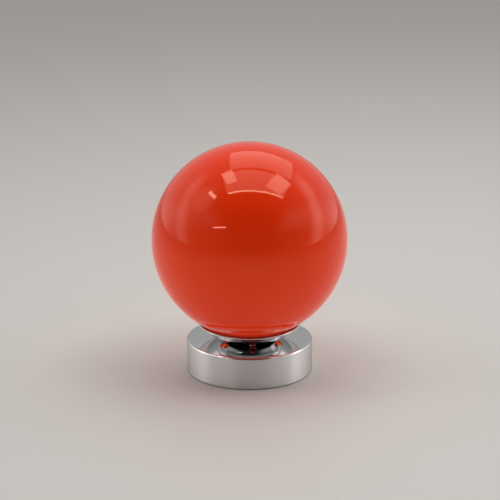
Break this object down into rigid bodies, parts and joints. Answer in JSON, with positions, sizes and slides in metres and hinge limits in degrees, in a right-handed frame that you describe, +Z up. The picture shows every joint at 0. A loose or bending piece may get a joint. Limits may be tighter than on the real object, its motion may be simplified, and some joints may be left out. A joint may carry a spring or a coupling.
{
  "type": "table lamp",
  "caption": "Table lamp with a round opal glass globe that lifts off a vented dish on a low round metal drum, and a screw-in bulb inside.",
  "frame": {"origin": "centre of the lamp's footprint, at the table", "axes": "+Z up along the drum's axis, +Y towards the back, where the cable inlet is, +X to the right seen from the front"},
  "size_m": [0.2, 0.2, 0.2384],
  "materials": {
    "opal_glass": "gloss opal orange",
    "polished_dish": "mirror polish",
    "polished_drum": "mirror top and satin side",
    "black_rubber": "matt",
    "red_rubber": "silicone",
    "base_steel": "zinc plated",
    "ballast_iron": "rough cast",
    "post_steel": "turned",
    "screw_steel": "zinc plated",
    "bush_plastic": "matt",
    "block_plastic": "satin",
    "tube_brass": "plain",
    "clamp_steel": "zinc plated",
    "stud_brass": "plain",
    "tag_tin": "tinned",
    "brown_wire": "satin",
    "blue_wire": "satin",
    "green_wire": "satin",
    "tube_steel": "zinc plated",
    "nut_steel": "zinc plated",
    "spring_steel": "bright rolled",
    "holder_plastic": "gloss",
    "holder_ceramic": "glazed",
    "holder_brass": "drawn",
    "bulb_glass": "pearl",
    "bulb_metal": "drawn",
    "bulb_black_glass": "gloss",
    "bulb_tin": "soldered",
    "bulb_stem_glass": "clear",
    "lead_metal": "drawn",
    "filament_metal": "dark"
  },
  "bodies": {
    "base": {"gallery_bowl": "polished_dish", "drum_shell": "polished_drum", "foot_ring": "black_rubber", "seat_ring": "red_rubber", "base_plate": "base_steel", "ballast": "ballast_iron", "base_posts": "post_steel", "base_screws": "screw_steel", "cable_bush": "bush_plastic", "terminal_block": "block_plastic", "terminal_tubes": "tube_brass", "terminal_screws": "clamp_steel", "block_screw": "screw_steel", "earth_stud": "stud_brass", "earth_nuts": "stud_brass", "earth_tag": "tag_tin", "live_wire": "brown_wire", "neutral_wire": "blue_wire", "earth_wire": "green_wire", "nipple": "tube_steel", "lower_washer": "tube_steel", "lower_nut": "nut_steel", "upper_washer": "tube_steel", "upper_nut": "nut_steel", "globe_spider": "spring_steel", "holder_cap": "holder_plastic", "holder_skirt": "holder_plastic", "holder_core": "holder_ceramic", "holder_thread": "holder_brass", "holder_contact": "holder_brass", "holder_terminals": "holder_brass", "lock_screw": "screw_steel"},
    "globe": {"glass_globe": "opal_glass"},
    "bulb": {"bulb_envelope": "bulb_glass", "bulb_cap": "bulb_metal", "bulb_insulator": "bulb_black_glass", "bulb_contact": "bulb_tin", "bulb_stem": "bulb_stem_glass", "bulb_leads": "lead_metal", "bulb_filament": "filament_metal"}
  },
  "joints": [
    {"name": "globe_lift", "type": "slide", "parent": "base", "child": "globe", "axis": [0, 0, 1], "range_m": [0, 0.13]},
    {"name": "bulb_unscrew", "type": "slide", "parent": "base", "child": "bulb", "axis": [0, 0, 1], "range_m": [0, 0.03]}
  ]
}
